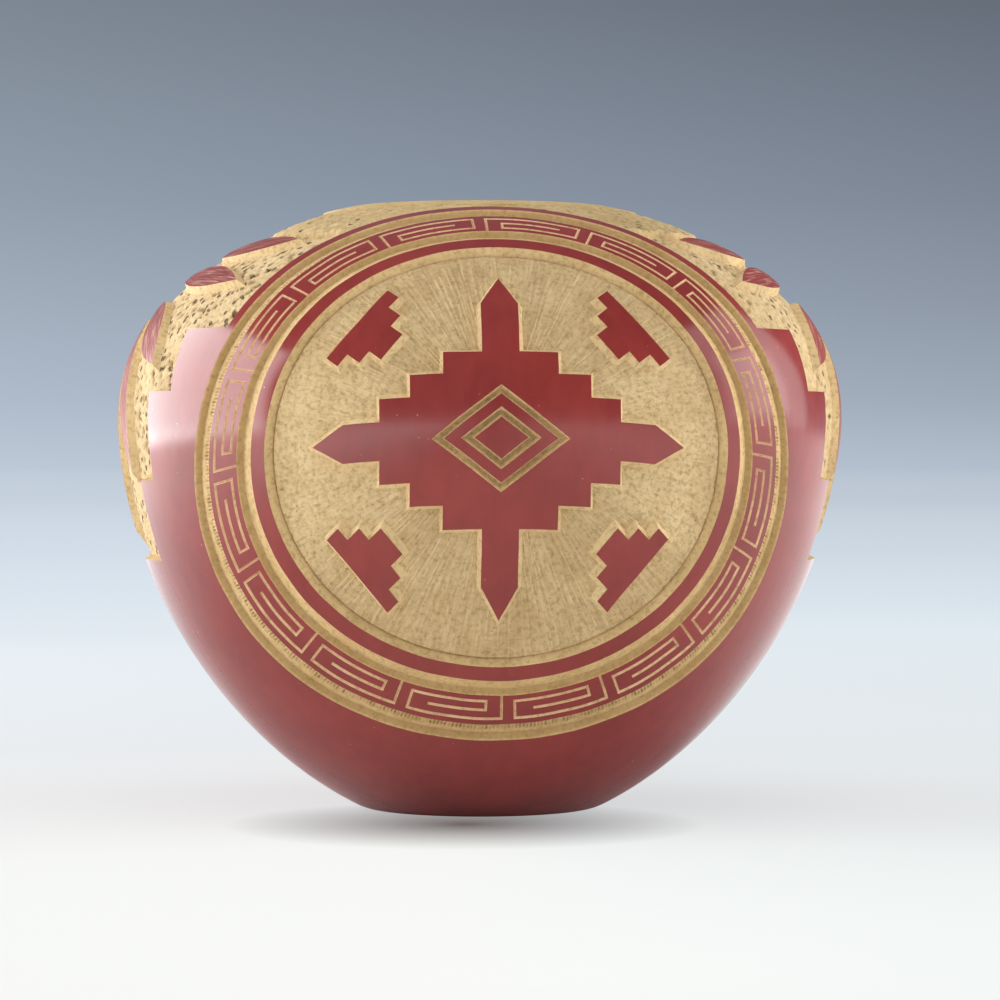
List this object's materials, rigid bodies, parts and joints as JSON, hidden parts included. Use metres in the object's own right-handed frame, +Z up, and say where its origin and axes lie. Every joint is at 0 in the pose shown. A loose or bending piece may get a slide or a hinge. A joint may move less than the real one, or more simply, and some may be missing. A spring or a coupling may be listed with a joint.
{
  "type": "carved seed pot",
  "caption": "Round-shouldered clay bowl with a small mouth, stone-polished red slip and medallions carved down to tan clay.",
  "frame": {"origin": "middle of the flat underside, where the bowl rests", "axes": "+Z up through the mouth, -Y towards the front medallion, +X towards the right flank"},
  "size_m": [0.12, 0.12, 0.0995],
  "materials": {
    "clay_body": "bare fired clay, scraped",
    "tan_ground": "matt tan, scored and stippled",
    "red_slip": "stone-polished red slip"
  },
  "bodies": {
    "root": {"base_slab": "red_slip", "wall_coil_1": "clay_body", "wall_coil_2": "clay_body", "wall_coil_3": "clay_body", "wall_coil_4": "clay_body", "wall_coil_5": "clay_body", "wall_coil_6": "clay_body", "wall_coil_7": "clay_body", "rim_coil": "tan_ground", "polished_body": "red_slip", "front_collar": "tan_ground", "front_ground": "tan_ground", "front_fret_band": "red_slip", "front_inner_ring": "red_slip", "front_star": "red_slip", "front_diamond_frame": "red_slip", "front_centre_diamond": "red_slip", "front_cloud_1": "red_slip", "front_cloud_2": "red_slip", "front_cloud_3": "red_slip", "front_cloud_4": "red_slip", "back_collar": "tan_ground", "back_ground": "tan_ground", "back_fret_band": "red_slip", "back_inner_ring": "red_slip", "back_star": "red_slip", "back_diamond_frame": "red_slip", "back_centre_diamond": "red_slip", "back_cloud_1": "red_slip", "back_cloud_2": "red_slip", "back_cloud_3": "red_slip", "back_cloud_4": "red_slip", "left_ground": "tan_ground", "left_feather_1": "red_slip", "left_feather_2": "red_slip", "left_feather_3": "red_slip", "left_feather_4": "red_slip", "left_feather_5": "red_slip", "left_feather_6": "red_slip", "left_feather_7": "red_slip", "left_feather_8": "red_slip", "left_feather_9": "red_slip", "right_ground": "tan_ground", "right_feather_1": "red_slip", "right_feather_2": "red_slip", "right_feather_3": "red_slip", "right_feather_4": "red_slip", "right_feather_5": "red_slip", "right_feather_6": "red_slip", "right_feather_7": "red_slip", "right_feather_8": "red_slip", "right_feather_9": "red_slip"}
  },
  "joints": []
}
